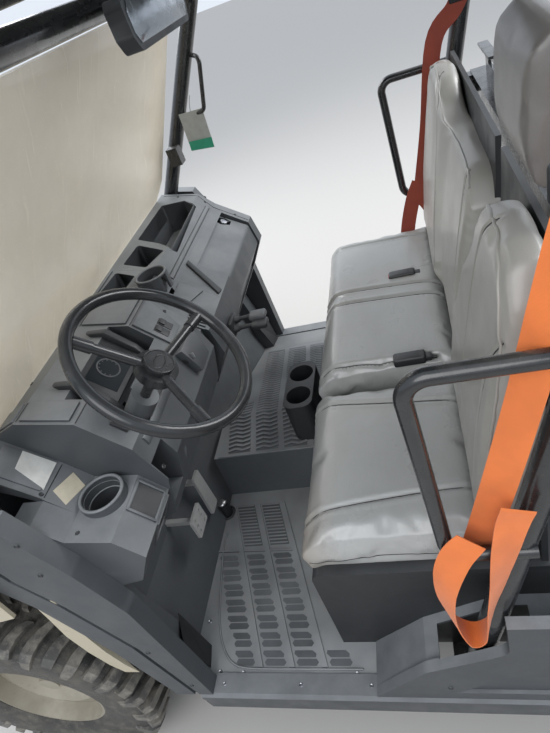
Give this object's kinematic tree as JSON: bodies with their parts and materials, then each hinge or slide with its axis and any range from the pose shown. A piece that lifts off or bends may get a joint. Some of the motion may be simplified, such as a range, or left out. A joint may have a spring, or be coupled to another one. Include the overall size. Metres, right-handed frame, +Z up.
{
  "type": "side by side utility vehicle",
  "caption": "Open side by side utility vehicle with a bench of grey vinyl seats, tube cab frame, moulded dash, orange belts, lugged tyres and a tipping cargo bed.",
  "frame": {"origin": "centre of the footprint, on the floor", "axes": "-Y is forwards, +X is the driver's side on the left, +Z is up"},
  "size_m": [1.594, 3.0499, 1.96],
  "materials": {
    "frame_black": "gloss black enamel",
    "dark_plastic": "moulded, grained",
    "tan_paint": "satin paint",
    "grey_vinyl": "grained vinyl",
    "wheel_grip": "worn grip",
    "tyre_rubber": "dusty rubber",
    "wheel_steel": "dusty paint",
    "bare_steel": "brushed",
    "engine_metal": "cast",
    "orange_webbing": "woven",
    "clear_panel": "scratched clear sheet",
    "lamp_lens": "clear lens",
    "red_lens": "gloss",
    "green_cap": "moulded"
  },
  "bodies": {
    "chassis": {"axle_towers": "frame_black", "back_driver": "grey_vinyl", "back_passenger": "grey_vinyl", "back_shells": "dark_plastic", "belt_driver": "orange_webbing", "belt_passenger": "orange_webbing", "buckles": "dark_plastic", "cab_frame": "frame_black", "cushion_driver": "grey_vinyl", "cushion_passenger": "grey_vinyl", "dash_centre": "dark_plastic", "dash_driver": "dark_plastic", "dash_passenger": "dark_plastic", "engine": "engine_metal", "floor": "dark_plastic", "floor_cups": "dark_plastic", "frame": "frame_black", "front_arms": "frame_black", "front_bumper": "frame_black", "front_fascia": "dark_plastic", "front_fenders": "tan_paint", "fuel_cap": "green_cap", "gearcases": "frame_black", "halfshafts": "bare_steel", "headlamps": "lamp_lens", "headrest": "grey_vinyl", "headrest_stay": "frame_black", "hip_bars": "frame_black", "hitch_receiver": "frame_black", "mirror": "dark_plastic", "pedals": "bare_steel", "rack_housing": "frame_black", "rear_arms": "frame_black", "rear_hubs": "frame_black", "rear_panels": "dark_plastic", "roof": "dark_plastic", "seat_base": "dark_plastic", "shifter": "dark_plastic", "shocks": "bare_steel", "side_cladding": "dark_plastic", "sills": "dark_plastic", "steering_column": "dark_plastic", "windshield": "clear_panel"},
    "steering": {"steering_wheel": "wheel_grip"},
    "rack": {"steering_rack": "frame_black"},
    "upright_left": {"knuckle_left": "frame_black"},
    "upright_right": {"knuckle_right": "frame_black"},
    "wheel_front_left": {"tyre_front_left": "tyre_rubber", "rim_front_left": "wheel_steel"},
    "wheel_front_right": {"tyre_front_right": "tyre_rubber", "rim_front_right": "wheel_steel"},
    "wheel_rear_left": {"tyre_rear_left": "tyre_rubber", "rim_rear_left": "wheel_steel"},
    "wheel_rear_right": {"tyre_rear_right": "tyre_rubber", "rim_rear_right": "wheel_steel"},
    "cargo_bed": {"bed": "dark_plastic", "tail_lamps": "red_lens"},
    "bed_gate": {"tailgate": "dark_plastic"},
    "glovebox": {"glovebox_lid": "dark_plastic"},
    "bonnet": {"hood": "tan_paint"}
  },
  "joints": [
    {"name": "steering_turn", "type": "hinge", "parent": "chassis", "child": "steering", "pos_m": [0.448, -0.377, 1.194], "axis": [0, 0.6807, 0.7325], "range_deg": [-360, 360]},
    {"name": "steer_left", "type": "hinge", "parent": "chassis", "child": "upright_left", "pos_m": [0.604, -1.065, 0.343], "axis": [0, 0, 1], "range_deg": [-32, 32]},
    {"name": "steer_right", "type": "hinge", "parent": "chassis", "child": "upright_right", "pos_m": [-0.604, -1.065, 0.343], "axis": [0, 0, 1], "range_deg": [-32, 32]},
    {"name": "rack_slide", "type": "slide", "parent": "chassis", "child": "rack", "axis": [1, 0, 0], "range_m": [-0.0584, 0.0584]},
    {"name": "roll_front_left", "type": "hinge", "parent": "upright_left", "child": "wheel_front_left", "pos_m": [0.6825, -1.065, 0.343], "axis": [1, 0, 0], "continuous": true},
    {"name": "roll_front_right", "type": "hinge", "parent": "upright_right", "child": "wheel_front_right", "pos_m": [-0.6825, -1.065, 0.343], "axis": [1, 0, 0], "continuous": true},
    {"name": "roll_rear_left", "type": "hinge", "parent": "chassis", "child": "wheel_rear_left", "pos_m": [0.6575, 0.995, 0.343], "axis": [1, 0, 0], "continuous": true},
    {"name": "roll_rear_right", "type": "hinge", "parent": "chassis", "child": "wheel_rear_right", "pos_m": [-0.6575, 0.995, 0.343], "axis": [1, 0, 0], "continuous": true},
    {"name": "bed_tip", "type": "hinge", "parent": "chassis", "child": "cargo_bed", "pos_m": [0, 1.33, 0.7], "axis": [-1, 0, 0], "range_deg": [0, 45]},
    {"name": "gate_drop", "type": "hinge", "parent": "cargo_bed", "child": "bed_gate", "pos_m": [0, 1.477, 0.821], "axis": [-1, 0, 0], "range_deg": [0, 90]},
    {"name": "glovebox_open", "type": "hinge", "parent": "chassis", "child": "glovebox", "pos_m": [-0.415, -0.494, 0.84], "axis": [-1, 0, 0], "range_deg": [0, 65]},
    {"name": "bonnet_lift", "type": "hinge", "parent": "chassis", "child": "bonnet", "pos_m": [0, -1.404, 0.85], "axis": [1, 0, 0], "range_deg": [0, 60]}
  ],
  "couplings": [
    {"joint": "steer_left", "follows": "steering_turn", "ratio": 0.0888},
    {"joint": "steer_right", "follows": "steering_turn", "ratio": 0.0888},
    {"joint": "rack_slide", "follows": "steering_turn", "m_per_rad": -0.00928}
  ]
}
